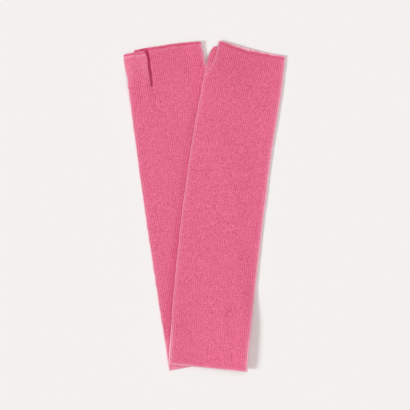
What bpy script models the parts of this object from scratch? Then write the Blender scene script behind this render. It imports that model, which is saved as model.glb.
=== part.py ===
"""A pair of knitted arm warmers, laid flat, the right one across the left one.

Each warmer is three seamless knitted tubes: an arm tube from the hem to the thumb crotch, a hand
tube from the crotch to the open finger edge, and a thumb tube that branches off the palm side.
The left warmer lies palm up, so its thumb lies on its hand tube. The right warmer lies palm down
across it, so its thumb lies under its hand tube. Both have the thumb at -X and the fingers at +Y.

A place on a warmer has two flat coordinates. from_hem runs up the tube from the arm opening, and
across runs from the fold on the thumb side (0) to the far fold (the full flat width). Sizes and
places are in millimetres until the points of a mesh are written in metres.
"""

import math
from bisect import bisect_right

import bmesh
import bpy

MM = 0.001

# Sizes of one warmer.
LENGTH = 400.0
CROTCH = 354.0
WALL = 1.0
LAYER_GAP = 0.2
SEAM_GAP = 0.3
STACK_GAP = 0.35
FLAT_THICKNESS = 2 * WALL + LAYER_GAP

# Flat width of the thumb tube.
THUMB_WIDTH = 29.0

# Where thumb and hand tubes lie on each other, the lower one lifts the upper one. A left thumb comes
# down again past the hand's fold, and a right hand comes down softly past the thumb.
STACK_LIFT = FLAT_THICKNESS + STACK_GAP
THUMB_DROP_END = 13.0

# Below the crotch the arm tube's upper layer rises to meet that stack, over this length. The side
# of the rise spreads out by a share of the distance below the crotch.
ARCH_LENGTH = 46.0
ARCH_SPREAD = 0.7

# How finely the tubes are divided.
ARM_SPANS = 16
HAND_SPANS = 15
THUMB_SPANS = 6
FOLD_SPANS = 4
LIP_SPAN = 5.0
LIP_SECTIONS = 4

KNIT_COLOUR = (0.75, 0.147, 0.258, 1.0)
KNIT_ROUGHNESS = 0.95
SHARP_ANGLE = math.radians(50)


class Table:
    """Rows of numbers under named columns, read at a value of the first column."""

    def __init__(self, columns, rows):
        self.keys = [row[0] for row in rows]
        self.columns = {name: [row[place] for row in rows] for place, name in enumerate(columns)}

    def interval(self, at):
        return min(max(bisect_right(self.keys, at), 1), len(self.keys) - 1)

    def straight(self, column, at):
        """The value along straight lines between the rows, level past both ends."""
        index, values = self.interval(at), self.columns[column]
        low, high = self.keys[index - 1], self.keys[index]
        share = min(1.0, max(0.0, (at - low) / (high - low)))
        return values[index - 1] + (values[index] - values[index - 1]) * share

    def smooth(self, column, at):
        """The value along a smooth curve through the rows, straight on past both ends."""
        index, values, last = self.interval(at), self.columns[column], len(self.keys) - 1

        def slope(row):
            before, after = max(row - 1, 0), min(row + 1, last)
            return (values[after] - values[before]) / (self.keys[after] - self.keys[before])

        if at < self.keys[0]:
            return values[0] + slope(0) * (at - self.keys[0])
        if at > self.keys[last]:
            return values[last] + slope(last) * (at - self.keys[last])
        span = self.keys[index] - self.keys[index - 1]
        share = (at - self.keys[index - 1]) / span
        start, end = values[index - 1], values[index]
        squared, cubed = share * share, share ** 3
        return (start * (2 * cubed - 3 * squared + 1)
                + end * (3 * squared - 2 * cubed)
                + slope(index - 1) * span * (cubed - 2 * squared + share)
                + slope(index) * span * (cubed - squared))


# The hand tube is narrower than the arm tube: its thumb side steps in towards the finger edge.
HAND_INSET = Table(("below_finger_edge", "inset"), (
    (0.0, 13.6),
    (10.0, 12.0),
    (22.0, 10.5),
    (34.0, 5.5),
    (40.0, 1.8),
    (46.0, 0.0),
))

# The open finger and thumb edges roll outwards into a lip. It stands out on the upper side, and
# the lower side is pressed flat.
LIP = Table(("below_edge", "height"), (
    (0.0, 0.30),
    (1.2, 0.55),
    (2.6, 0.45),
    (3.6, 0.0),
))

# The thumb tube's outer fold waves: how far it lies inside the arm tube's fold line, at each share
# of the thumb's length. The right thumb is turned under at its tip.
THUMB_FOLD_COLUMNS = ("share", "inset")
LEFT_THUMB_FOLD = Table(THUMB_FOLD_COLUMNS, (
    (0.0, 0.0),
    (0.25, 0.6),
    (0.5, -0.2),
    (0.75, -1.0),
    (1.0, -0.4),
))
RIGHT_THUMB_FOLD = Table(THUMB_FOLD_COLUMNS, (
    (0.0, 0.0),
    (0.25, 1.3),
    (0.5, 1.8),
    (0.75, 3.0),
    (0.9, 5.2),
    (1.0, 7.6),
))

# How much thicker each flat tube is at its two folds than in its pressed middle. The looser knit at
# the arm opening keeps round folds. Further up the fold on the thumb side is pressed flat, and the
# far one stays a little open.
FOLD_CREST = 5.0
FOLD_REACH = 22.0
FOLD_COLUMNS = ("from_hem", "thumb_side", "far_side")
LEFT_FOLDS = Table(FOLD_COLUMNS, (
    (0.0, 0.7, 4.2),
    (40.0, 0.5, 3.2),
    (110.0, 0.1, 0.5),
    (200.0, 0.0, 0.0),
    (330.0, 0.0, 0.2),
    (360.0, 0.0, 1.3),
    (400.0, 0.0, 2.2),
))
RIGHT_FOLDS = Table(FOLD_COLUMNS, (
    (0.0, 0.6, 2.0),
    (40.0, 0.5, 1.7),
    (100.0, 0.1, 0.9),
    (200.0, 0.0, 0.8),
    (300.0, 0.0, 1.2),
    (400.0, 0.0, 1.5),
))

# How each warmer lies: the middle of its full width, the angle of the cross line there from +X in
# degrees, and the full flat width.
LAY_COLUMNS = ("from_hem", "centre_x", "centre_y", "cross_angle", "width")
LEFT_LAY = Table(LAY_COLUMNS, (
    (0.0, 5.1, -197.4, 10.3, 100.6),
    (87.0, -8.4, -111.0, 8.9, 100.0),
    (188.0, -23.4, -11.0, 8.3, 100.6),
    (289.0, -36.9, 89.0, 8.2, 101.2),
    (357.0, -45.4, 156.6, 8.3, 102.2),
    (400.0, -53.0, 199.0, 8.7, 98.8),
))
RIGHT_LAY = Table(LAY_COLUMNS, (
    (0.0, 4.3, -202.6, -5.4, 99.8),
    (84.0, 11.4, -118.2, -5.5, 101.8),
    (184.0, 22.3, -18.2, -6.6, 103.0),
    (284.0, 35.6, 81.8, -8.5, 101.6),
    (355.0, 47.7, 152.0, -11.2, 100.3),
    (400.0, 53.6, 199.5, -14.4, 99.4),
))

# The right warmer crosses the left one. Its underside keeps this far above it, bridges softly up
# to the crest over each fold, and comes down to the floor past the far fold, over as long a way as
# there is room for. Low down, where little of it sticks out past that fold, it carries itself
# level. Above the crossing it is on the floor.
CROSSING_GAP = 0.35
CROSSING_CREST = 6.0
CROSSING_REACH = 70.0
CROSSING_DROP = Table(("y", "length"), (
    (-101.0, 24.0),
    (-51.0, 36.0),
    (49.0, 60.0),
))
DROPS_ABOVE_Y = -99.0
LEVEL_BELOW_Y = -166.0
CROSSING_TOP_Y = 175.0
FLOOR_ABOVE_Y = 201.0
HEM_OVERHANG = 20.0
HEM_SAG_SHARE = 0.1


def smoothstep(start, end, value):
    """0 before start, 1 after end, and a smooth rise between them."""
    share = min(1.0, max(0.0, (value - start) / (end - start)))
    return share * share * (3.0 - 2.0 * share)


class Warmer:
    """One warmer as it lies: where its flat places come to on the floor, and how thick it is."""

    def __init__(self, lay, folds, rest_height, palm_up, stack_side, finger_bow, thumb_length,
                 thumb_slant, thumb_fold):
        self.lay = lay
        self.folds = folds
        self.rest_height = rest_height
        self.palm_up = palm_up
        self.stack_side = stack_side
        self.finger_bow = finger_bow
        self.thumb_length = thumb_length
        self.thumb_slant = thumb_slant
        self.thumb_fold = thumb_fold

    def width(self, from_hem):
        return self.lay.smooth("width", from_hem)

    def place(self, across, from_hem):
        """The point of the floor that a flat place comes to."""
        half = self.width(from_hem) / 2
        towards_edge = smoothstep(CROTCH, LENGTH, from_hem)
        bow = self.finger_bow * towards_edge * (1.0 - ((across - half) / half) ** 2)
        angle = math.radians(self.lay.smooth("cross_angle", from_hem))
        x = self.lay.smooth("centre_x", from_hem) + (across - half) * math.cos(angle)
        y = self.lay.smooth("centre_y", from_hem) + (across - half) * math.sin(angle)
        return x - bow * math.sin(angle), y + bow * math.cos(angle)

    def locate(self, x, y):
        """The flat place above a point of the floor, found by a few corrections."""
        from_hem = y + LENGTH / 2
        for _ in range(5):
            angle = math.radians(self.lay.smooth("cross_angle", from_hem))
            off_x = x - self.lay.smooth("centre_x", from_hem)
            off_y = y - self.lay.smooth("centre_y", from_hem)
            from_hem += off_y * math.cos(angle) - off_x * math.sin(angle)
        across = off_x * math.cos(angle) + off_y * math.sin(angle) + self.width(from_hem) / 2
        return across, from_hem

    def height(self, across, from_hem):
        """Height of what lies under a flat place."""
        return self.rest_height(*self.place(across, from_hem))

    def thickness(self, across, from_hem, crest=FOLD_CREST, reach=FOLD_REACH):
        """Thickness of the flat tube, which is greatest within the crest of its folds."""
        past_far_fold = self.width(from_hem) - across
        thumb_side = self.folds.straight("thumb_side", from_hem)
        far_side = self.folds.straight("far_side", from_hem)
        return (FLAT_THICKNESS + thumb_side * (1.0 - smoothstep(crest, reach, across))
                + far_side * (1.0 - smoothstep(crest, reach, past_far_fold)))

    def beside_stack(self, across, below_crotch=0.0):
        """1 on the stack of thumb and hand, 0 well beside it."""
        start, end = self.stack_side
        spread = ARCH_SPREAD * below_crotch
        return 1.0 - smoothstep(start, end + spread, across - THUMB_WIDTH)


def floor_height(x, y):
    """The left warmer lies on the floor everywhere."""
    return 0.0


LEFT = Warmer(LEFT_LAY, LEFT_FOLDS, floor_height, palm_up=True, stack_side=(-6.0, 5.0),
              finger_bow=2.1, thumb_length=42.8, thumb_slant=-1.0, thumb_fold=LEFT_THUMB_FOLD)


def crossing_height(x, y):
    """Height of the right warmer's underside over a point of the floor."""
    across, from_hem = LEFT.locate(x, y)
    past_far_fold = across - LEFT.width(from_hem)
    height = LEFT.thickness(across, from_hem, CROSSING_CREST, CROSSING_REACH) + CROSSING_GAP
    drops = smoothstep(LEVEL_BELOW_Y, DROPS_ABOVE_Y, y)
    drop = drops * smoothstep(0.0, CROSSING_DROP.straight("length", y), past_far_fold)
    crossed = 1.0 - smoothstep(CROSSING_TOP_Y, FLOOR_ABOVE_Y, y)
    sag = HEM_SAG_SHARE * smoothstep(0.0, HEM_OVERHANG, -from_hem)
    return height * (1.0 - drop) * crossed * (1.0 - sag)


RIGHT = Warmer(RIGHT_LAY, RIGHT_FOLDS, crossing_height, palm_up=False, stack_side=(1.0, 48.0),
               finger_bow=-2.8, thumb_length=37.3, thumb_slant=1.5, thumb_fold=RIGHT_THUMB_FOLD)


def hand_inset(from_hem):
    return HAND_INSET.straight("inset", LENGTH - from_hem)


def steps_along(*spans):
    """Even steps up a tube through each (start, end, count)."""
    found = [spans[0][0]]
    for start, end, count in spans:
        found += [start + (end - start) * step / count for step in range(1, count + 1)]
    return found


def section(warmer, edges, from_hem, underside, thickness, spans, lip):
    """Outer and inner points of one flat, round-folded section of a tube, in metres.

    from_hem, underside and thickness are functions of the place across. The points run along the
    underside, round the far fold, back along the top and round the fold on the thumb side.
    """
    first, last = edges
    near_radius, far_radius = thickness(first) / 2, thickness(last) / 2
    start, end = first + near_radius, last - far_radius
    places = [start + (end - start) * step / spans for step in range(spans + 1)]
    outer, inner = [], []

    def add(points, across, above):
        x, y = warmer.place(across, from_hem(across))
        points.append((x * MM, y * MM, (underside(across) + above) * MM))

    def turn(centre, radius, outwards):
        for step in range(1, FOLD_SPANS):
            angle = math.pi * (step / FOLD_SPANS - 0.5) * outwards
            swell = radius + lip * max(0.0, math.sin(angle))
            for points, reach in ((outer, swell), (inner, radius - WALL)):
                across = centre + outwards * reach * math.cos(angle)
                add(points, across, radius + reach * math.sin(angle))

    for across in places:
        add(outer, across, 0.0)
        add(inner, across, WALL)
    turn(end, far_radius, 1)
    for across in reversed(places):
        add(outer, across, thickness(across) + lip)
        add(inner, across, thickness(across) - WALL)
    turn(start, near_radius, -1)
    return outer, inner


def knit_material(name):
    material = bpy.data.materials.new(name)
    material.use_nodes = True
    shader = material.node_tree.nodes["Principled BSDF"]
    shader.inputs["Base Color"].default_value = KNIT_COLOUR
    shader.inputs["Roughness"].default_value = KNIT_ROUGHNESS
    shader.inputs["Metallic"].default_value = 0.0
    return material


def tube(name, sections):
    """Skin the outer and inner points of a row of sections into one closed wall."""
    shell = bmesh.new()
    outer = [[shell.verts.new(point) for point in points] for points, _ in sections]
    inner = [[shell.verts.new(point) for point in points] for _, points in sections]

    def join(ring, next_ring):
        for index, vert in enumerate(ring):
            after = (index + 1) % len(ring)
            shell.faces.new((vert, ring[after], next_ring[after], next_ring[index]))

    for rings in (outer, inner):
        for ring, next_ring in zip(rings, rings[1:]):
            join(ring, next_ring)
    join(outer[0], inner[0])
    join(outer[-1], inner[-1])
    bmesh.ops.recalc_face_normals(shell, faces=shell.faces)

    mesh = bpy.data.meshes.new(name)
    shell.to_mesh(mesh)
    shell.free()
    mesh.shade_smooth()
    mesh.set_sharp_from_angle(angle=SHARP_ANGLE)
    mesh.materials.append(knit_material(name))
    piece = bpy.data.objects.new(name, mesh)
    bpy.context.scene.collection.objects.link(piece)


def arm_tube(name, warmer, *spans):
    """The long tube. Its upper layer rises at the crotch to meet the thumb and hand stack."""
    sections = []
    for along in steps_along(*spans):
        width = warmer.width(along)
        rise = STACK_LIFT * smoothstep(CROTCH - ARCH_LENGTH, CROTCH, along)

        def underside(across):
            return warmer.height(across, along)

        def thickness(across):
            arch = rise * warmer.beside_stack(across, CROTCH - along)
            return warmer.thickness(across, along) + arch

        sections.append(section(warmer, (0.0, width), lambda across: along, underside, thickness,
                                ARM_SPANS, lip=0.0))
    tube(name, sections)


def hand_tube(name, warmer):
    """The wide short tube: under its thumb on the left warmer and over it on the right one."""
    sections = []
    lip_start = LENGTH - LIP_SPAN
    for along in steps_along((CROTCH + SEAM_GAP, lip_start, 6), (lip_start, LENGTH, LIP_SECTIONS)):

        def underside(across):
            lift = 0.0 if warmer.palm_up else warmer.beside_stack(across)
            return warmer.height(across, along) + STACK_LIFT * lift

        def thickness(across):
            return warmer.thickness(across, along)

        edges = (hand_inset(along), warmer.width(along))
        sections.append(section(warmer, edges, lambda across: along, underside, thickness,
                                HAND_SPANS, LIP.straight("height", LENGTH - along)))
    tube(name, sections)


def thumb_tube(name, warmer):
    """The narrow short tube: over its hand tube and sagging past that tube's fold on the left
    warmer, and under it on the right one, where no lip stands out."""
    sections = []
    length = warmer.thumb_length
    lip_start = length - LIP_SPAN
    for height in steps_along((0.0, lip_start, 6), (lip_start, length, LIP_SECTIONS)):
        share = height / length
        first = warmer.thumb_fold.smooth("inset", share)

        def from_hem(across):
            slant = warmer.thumb_slant * across / THUMB_WIDTH
            return CROTCH + SEAM_GAP + height + share * slant

        def underside(across):
            along = from_hem(across)
            past_hand_fold = hand_inset(along) - across
            lift = 0.0
            if warmer.palm_up:
                lift = 1.0 - smoothstep(0.0, THUMB_DROP_END, past_hand_fold)
            return warmer.height(across, along) + STACK_LIFT * lift

        lip = LIP.straight("height", length - height) if warmer.palm_up else 0.0
        sections.append(section(warmer, (first, THUMB_WIDTH), from_hem, underside,
                                lambda across: FLAT_THICKNESS, THUMB_SPANS, lip))
    tube(name, sections)


def main():
    for old in list(bpy.data.objects):
        bpy.data.objects.remove(old, do_unlink=True)
    arch_start = CROTCH - ARCH_LENGTH
    arm_tube("left_arm_tube", LEFT, (0.0, arch_start, 14), (arch_start, CROTCH, 6))
    hand_tube("left_hand_tube", LEFT)
    thumb_tube("left_thumb_tube", LEFT)
    arm_tube("right_arm_tube", RIGHT, (0.0, CROTCH, 30))
    hand_tube("right_hand_tube", RIGHT)
    thumb_tube("right_thumb_tube", RIGHT)


main()
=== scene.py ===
# %% [markdown]
# # A pair of knitted arm warmers
#
# Two long fingerless warmers in soft pink stockinette lie flat, one across the other. Each is
# knitted in the round, so it has no side seam: an arm tube runs up to the thumb crotch, where it
# branches into a hand tube and a short thumb tube. The left warmer shows its palm, with the thumb
# lying on the hand. The right warmer shows the back of the hand, with the thumb tucked beneath.
#
# The solids of both warmers come ready made. They are the frame: this lesson keeps their places and
# sizes, and dresses the six tubes in real stitches.

import math
from dataclasses import dataclass

import bmesh
import bpy
import numpy as np
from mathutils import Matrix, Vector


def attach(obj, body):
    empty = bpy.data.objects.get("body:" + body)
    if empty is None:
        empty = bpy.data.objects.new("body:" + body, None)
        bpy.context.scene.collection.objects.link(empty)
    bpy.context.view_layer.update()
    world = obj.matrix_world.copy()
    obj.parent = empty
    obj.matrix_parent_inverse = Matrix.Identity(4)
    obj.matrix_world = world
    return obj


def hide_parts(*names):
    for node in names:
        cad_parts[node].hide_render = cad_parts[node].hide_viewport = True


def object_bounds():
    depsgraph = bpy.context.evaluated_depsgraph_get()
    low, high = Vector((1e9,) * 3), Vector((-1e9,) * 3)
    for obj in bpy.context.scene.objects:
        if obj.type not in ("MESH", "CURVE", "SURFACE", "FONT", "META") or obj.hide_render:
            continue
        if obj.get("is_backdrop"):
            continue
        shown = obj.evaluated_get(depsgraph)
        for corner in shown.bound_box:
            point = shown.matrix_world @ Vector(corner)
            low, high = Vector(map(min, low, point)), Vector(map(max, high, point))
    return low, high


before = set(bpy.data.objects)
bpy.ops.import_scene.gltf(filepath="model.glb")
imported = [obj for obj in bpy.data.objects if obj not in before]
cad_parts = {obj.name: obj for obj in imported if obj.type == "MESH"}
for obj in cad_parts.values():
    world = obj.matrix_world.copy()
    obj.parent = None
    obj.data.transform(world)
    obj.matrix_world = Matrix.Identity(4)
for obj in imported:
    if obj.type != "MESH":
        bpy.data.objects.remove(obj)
solid_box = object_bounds()
print("nodes:", sorted(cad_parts))
print("solid box in mm:", [[round(value * 1000, 1) for value in corner] for corner in solid_box])

# %% [markdown]
# ## The camera
#
# Flat clothes are photographed from straight above. A short lens close by would bend the long
# edges, so the camera hangs high with a long lens, which follows from the width of the picture.

# %% Camera
MM = 0.001
PICTURE_WIDTH = 512.5 * MM
PICTURE_CENTRE = (0.7 * MM, 1.1 * MM)
CAMERA_HEIGHT = 2.4
CLOTH_TOP = 6 * MM
SENSOR_WIDTH = 36.0
scene = bpy.context.scene


def add_object(name, data):
    """A new object of the scene with the given data."""
    thing = bpy.data.objects.new(name, data)
    scene.collection.objects.link(thing)
    return thing


camera_data = bpy.data.cameras.new("camera")
camera_data.sensor_width = SENSOR_WIDTH
camera_data.lens = SENSOR_WIDTH * (CAMERA_HEIGHT - CLOTH_TOP) / PICTURE_WIDTH
camera = add_object("camera", camera_data)
camera.location = (*PICTURE_CENTRE, CAMERA_HEIGHT)
scene.camera = camera
print("lens:", round(camera_data.lens, 1), "mm")

# %% [markdown]
# ## The table top
#
# A plain off-white surface fills the picture. From above one large square is enough. It lies a hair
# below the cloth, so that the two never share a plane.

# %% Floor
FLOOR_SIZE = 6.0
FLOOR_DROP = 0.1 * MM
FLOOR_COLOUR = (0.886, 0.877, 0.862, 1.0)

floor_shape = bmesh.new()
bmesh.ops.create_grid(floor_shape, x_segments=1, y_segments=1, size=FLOOR_SIZE / 2)
bmesh.ops.translate(floor_shape, verts=floor_shape.verts, vec=(0, 0, -FLOOR_DROP))
floor_mesh = bpy.data.meshes.new("floor")
floor_shape.to_mesh(floor_mesh)
floor_shape.free()
floor_paint = bpy.data.materials.new("floor paint")
floor_paint.use_nodes = True
floor_shader = floor_paint.node_tree.nodes["Principled BSDF"]
floor_shader.inputs["Base Color"].default_value = FLOOR_COLOUR
floor_shader.inputs["Roughness"].default_value = 0.9
floor_shader.inputs["Specular IOR Level"].default_value = 0.1
floor_mesh.materials.append(floor_paint)
floor = add_object("floor", floor_mesh)
floor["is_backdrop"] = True

# %% [markdown]
# ## The light
#
# A broad soft light stands low on the left, a little towards the hems. The low angle makes a flat
# knit readable: it draws every rib, brightens the folds on the left and lays soft shadows on the
# right. A large bounce board overhead fills those shadows evenly, and pale walls return the rest
# from all sides. What they return is a little warmer than the lamp's own light. Sun lamps give the
# same angle everywhere, and their angular size sets how soft the shadow edges are.

# %% Light
KEY_TINT = (0.846, 1.0, 1.0)
FILL_TINT = (1.0, 0.896, 0.896)
ROOM_STRENGTH = 0.381
LIGHTS = (
    ("key light", KEY_TINT, 2.11, 197, 34, 17),
    ("bounce board", FILL_TINT, 1.056, 17, 70, 60),
)

for name, tint, strength, azimuth, elevation, size in LIGHTS:
    lamp_data = bpy.data.lights.new(name, "SUN")
    lamp_data.color = tint
    lamp_data.energy = strength
    lamp_data.angle = math.radians(size)
    lamp = add_object(name, lamp_data)
    lamp.rotation_euler = (0.0, math.radians(90 - elevation), math.radians(azimuth))
print("lights:", [light[0] for light in LIGHTS])

room = bpy.data.worlds.new("pale room")
room.use_nodes = True
walls = room.node_tree.nodes["Background"]
walls.inputs["Color"].default_value = (*FILL_TINT, 1.0)
walls.inputs["Strength"].default_value = ROOM_STRENGTH
scene.world = room
scene.view_settings.view_transform = "Standard"
scene.view_settings.look = "None"

# %% [markdown]
# ## Sizes of one warmer
#
# From here on all sizes are in millimetres, and they become metres when a mesh is written. Two flat
# coordinates name a place on a warmer: `from_hem` runs up the tube from the arm opening, and
# `across` runs from the fold on the thumb side to the far fold.

# %% Sizes
LENGTH = 400.0
CROTCH = 354.0
WALL = 1.0
LAYER_GAP = 0.2
STACK_GAP = 0.35
FLAT_THICKNESS = 2 * WALL + LAYER_GAP

THUMB_WIDTH = 29.0
TIP_TURN = 1.8
TIP_TURN_LENGTH = 11.0

STACK_LIFT = FLAT_THICKNESS + STACK_GAP
THUMB_DROP_END = 13.0

PAST_THUMB = 393.0
FINGER_DROOP = 0.5

ARCH_LENGTH = 46.0
ARCH_SPREAD = 0.7
print("one warmer:", LENGTH, "mm long, flat tube", FLAT_THICKNESS, "mm thick")

# %% [markdown]
# ## Stitches
#
# Stockinette is columns of V shapes, called wales, crossed by rows, called courses. Each V has two
# legs of yarn with a shallow valley between them, and a deeper one parts it from the next wale. The
# columns of the mesh run along the legs and valleys, and its rows zigzag with the V, so a few points
# make a true stitch. The unseen lower layer gets half as many columns.

# %% Gauge
WALES_ROUND = 74
THUMB_WALES_ROUND = 22
WALE = 2.7
LEG_MIDDLE = 0.25
COURSE = 1.76
ARM_COURSES = round(CROTCH / COURSE)
COLUMNS_BELOW = 2
COLUMNS_ABOVE = 4
ROWS_PER_COURSE = 2
V_HEIGHT = 0.45
BETWEEN_WALES_DEPTH = 0.60
MIDDLE_DEPTH = 0.08
LEG_DIP = 0.16
STITCH_UNEVENNESS = 0.08


def wale_columns(wales_round):
    """The wale coordinate of each column of the mesh: coarse below the tube, fine above it."""
    half = wales_round // 2
    below = np.arange(half * COLUMNS_BELOW) / COLUMNS_BELOW
    above = half + np.arange(half * COLUMNS_ABOVE + 1) / COLUMNS_ABOVE
    return np.concatenate([below, above])


def stitch_depth(wale, course):
    """How far the face of the knit lies below its highest yarn, in millimetres."""
    from_middle = np.abs(wale % 1.0 - 0.5)
    ribs = np.interp(from_middle, (0.0, LEG_MIDDLE, 0.5), (MIDDLE_DEPTH, 0.0, BETWEEN_WALES_DEPTH))
    dips = LEG_DIP * (0.5 + 0.5 * np.cos(2 * math.pi * course))
    return ribs + dips


def stitch_lean(wale):
    """How far a row of the mesh runs ahead of its course to follow the V, in courses."""
    return V_HEIGHT * 2 * np.abs(wale % 1.0 - 0.5)


print("wales:", WALES_ROUND, "round, about", WALE, "mm each")

# %% [markdown]
# ## Tables that become smooth curves
#
# Cloth has no ruler lines in it, yet nobody wants to store hundreds of points. So each long edge is
# a short table, with a smooth curve through its rows. The functions take whole arrays, because a
# knitted face has tens of thousands of points.

# %% Tables
class Table:
    """Rows of numbers under named columns, read at values of the first column."""

    def __init__(self, columns, rows):
        numbers = np.array(rows, float)
        self.keys = numbers[:, 0]
        self.columns = {name: numbers[:, place] for place, name in enumerate(columns)}

    def straight(self, column, at):
        """Values along straight lines between the rows, level past both ends."""
        return np.interp(at, self.keys, self.columns[column])

    def smooth(self, column, at):
        """Values along a smooth curve through the rows, straight on past both ends."""
        keys, values = self.keys, self.columns[column]
        slopes = np.empty(len(keys))
        slopes[1:-1] = (values[2:] - values[:-2]) / (keys[2:] - keys[:-2])
        slopes[0] = (values[1] - values[0]) / (keys[1] - keys[0])
        slopes[-1] = (values[-1] - values[-2]) / (keys[-1] - keys[-2])
        held = np.clip(at, keys[0], keys[-1])
        after = np.clip(np.searchsorted(keys, held, side="right"), 1, len(keys) - 1)
        before = after - 1
        span = keys[after] - keys[before]
        share = (held - keys[before]) / span
        squared, cubed = share ** 2, share ** 3
        inside = (values[before] * (2 * cubed - 3 * squared + 1)
                  + values[after] * (3 * squared - 2 * cubed)
                  + slopes[before] * span * (cubed - 2 * squared + share)
                  + slopes[after] * span * (cubed - squared))
        end_slope = np.where(at < keys[0], slopes[0], slopes[-1])
        return inside + end_slope * (at - held)


def smoothstep(start, end, value):
    """0 before start, 1 after end, and a smooth rise between them."""
    share = np.clip((value - start) / (end - start), 0.0, 1.0)
    return share * share * (3.0 - 2.0 * share)


def fall(start, end, value):
    """1 before start, 0 after end, and a smooth fall between them."""
    return 1.0 - smoothstep(start, end, value)


# %% [markdown]
# ## How each warmer lies
#
# The middle line, the angle of the cross line and the flat width say how a warmer lies. They change
# a little along it, because soft cloth never lies quite straight. The folds stay rounder than the
# pressed middle, most of all at the arm openings. The hand tube steps in on the thumb side, and the
# finger edges bow and dip a little.

# %% Lay
LAY_COLUMNS = ("from_hem", "centre_x", "centre_y", "cross_angle", "width")
LEFT_LAY = Table(LAY_COLUMNS, (
    (0.0, 5.1, -197.4, 10.3, 100.6),
    (87.0, -8.4, -111.0, 8.9, 100.0),
    (188.0, -23.4, -11.0, 8.3, 100.6),
    (289.0, -36.9, 89.0, 8.2, 101.2),
    (357.0, -45.4, 156.6, 8.3, 102.2),
    (400.0, -53.0, 199.0, 8.7, 98.8),
))
RIGHT_LAY = Table(LAY_COLUMNS, (
    (0.0, 4.3, -202.6, -5.4, 99.8),
    (84.0, 11.4, -118.2, -5.5, 101.8),
    (184.0, 22.3, -18.2, -6.6, 103.0),
    (284.0, 35.6, 81.8, -8.5, 101.6),
    (355.0, 47.7, 152.0, -11.2, 100.3),
    (400.0, 53.6, 199.5, -14.4, 99.4),
))
HAND_INSET = Table(("below_finger_edge", "inset"), (
    (0.0, 13.6), (10.0, 12.0), (22.0, 10.5), (34.0, 5.5), (40.0, 1.8), (46.0, 0.0),
))
THUMB_FOLD_COLUMNS = ("share", "inset")
LEFT_THUMB_FOLD = Table(THUMB_FOLD_COLUMNS, (
    (0.0, 0.0), (0.25, 0.6), (0.5, -0.2), (0.75, -1.0), (0.9, -0.7), (1.0, 0.7),
))
RIGHT_THUMB_FOLD = Table(THUMB_FOLD_COLUMNS, (
    (0.0, 0.0), (0.25, 1.3), (0.5, 1.8), (0.75, 3.0), (0.9, 5.2), (1.0, 7.6),
))
FINGER_DIP_COLUMNS = ("across", "dip")
LEFT_FINGER_DIP = Table(FINGER_DIP_COLUMNS, (
    (0.0, 0.0), (29.0, 0.0), (45.0, 0.6), (58.0, 0.3), (80.0, 0.4), (98.8, 0.9),
))
RIGHT_FINGER_DIP = Table(FINGER_DIP_COLUMNS, (
    (13.6, 0.0), (35.3, -0.4), (74.0, -0.4), (99.4, 0.0),
))
FOLD_CREST = 5.0
FOLD_REACH = 22.0
PLACE_CORRECTIONS = 5
FOLD_COLUMNS = ("from_hem", "thumb_side", "far_side")
LEFT_FOLDS = Table(FOLD_COLUMNS, (
    (0.0, 0.7, 4.2), (40.0, 0.5, 3.2), (110.0, 0.1, 0.5), (200.0, 0.0, 0.0),
    (330.0, 0.0, 0.2), (360.0, 0.0, 1.3), (400.0, 0.0, 2.2),
))
RIGHT_FOLDS = Table(FOLD_COLUMNS, (
    (0.0, 0.6, 2.0), (40.0, 0.5, 1.7), (100.0, 0.1, 0.9), (150.0, 0.05, 0.2),
    (200.0, 0.0, 0.0), (300.0, 0.0, 0.4), (400.0, 0.0, 0.6),
))


@dataclass
class Warmer:
    """One warmer as it lies: where its flat places come to on the floor, and how thick it is."""

    lay: Table
    folds: Table
    rest_height: object
    palm_up: bool
    stack_side: tuple
    finger_bow: float
    finger_dip: Table
    thumb_length: float
    thumb_slant: float
    thumb_fold: Table
    seed: int

    def width(self, from_hem):
        return self.lay.smooth("width", from_hem)

    def cross_line(self, from_hem):
        """The middle of the cross line, and the cosine and sine of its angle."""
        angle = np.radians(self.lay.smooth("cross_angle", from_hem))
        x, y = self.lay.smooth("centre_x", from_hem), self.lay.smooth("centre_y", from_hem)
        return x, y, np.cos(angle), np.sin(angle)

    def place(self, across, from_hem):
        """The points of the floor that flat places come to."""
        half = self.width(from_hem) / 2
        towards_edge = smoothstep(CROTCH, LENGTH, from_hem)
        bow = self.finger_bow * (1.0 - ((across - half) / half) ** 2)
        bow = towards_edge * (bow - self.finger_dip.smooth("dip", across))
        x, y, cosine, sine = self.cross_line(from_hem)
        off_middle = across - half
        return x + off_middle * cosine - bow * sine, y + off_middle * sine + bow * cosine

    def locate(self, x, y):
        """The flat places above points of the floor, found by a few corrections."""
        from_hem = y + LENGTH / 2
        for _ in range(PLACE_CORRECTIONS):
            middle_x, middle_y, cosine, sine = self.cross_line(from_hem)
            off_x, off_y = x - middle_x, y - middle_y
            from_hem = from_hem + off_y * cosine - off_x * sine
        across = off_x * cosine + off_y * sine + self.width(from_hem) / 2
        return across, from_hem

    def height(self, across, from_hem):
        """Height of what lies under flat places."""
        return self.rest_height(*self.place(across, from_hem))

    def thickness(self, across, from_hem, crest=FOLD_CREST, reach=FOLD_REACH):
        """Thickness of the flat tube, which is greatest within the crest of its folds."""
        past_far_fold = self.width(from_hem) - across
        thumb_side = self.folds.straight("thumb_side", from_hem)
        far_side = self.folds.straight("far_side", from_hem)
        return (FLAT_THICKNESS + thumb_side * fall(crest, reach, across)
                + far_side * fall(crest, reach, past_far_fold))

    def beside_stack(self, across, below_crotch=0.0):
        """1 on the stack of thumb and hand, 0 well beside it."""
        start, end = self.stack_side
        spread = ARCH_SPREAD * below_crotch
        return fall(start, end + spread, across - THUMB_WIDTH)


# %% [markdown]
# ## Where one warmer crosses the other
#
# The left warmer lies on the table. The right one climbs over its fold, bridges softly on top, and
# comes down to the table past the far fold. Its height is worked out from where the left warmer is,
# so the two never cut each other.

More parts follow.
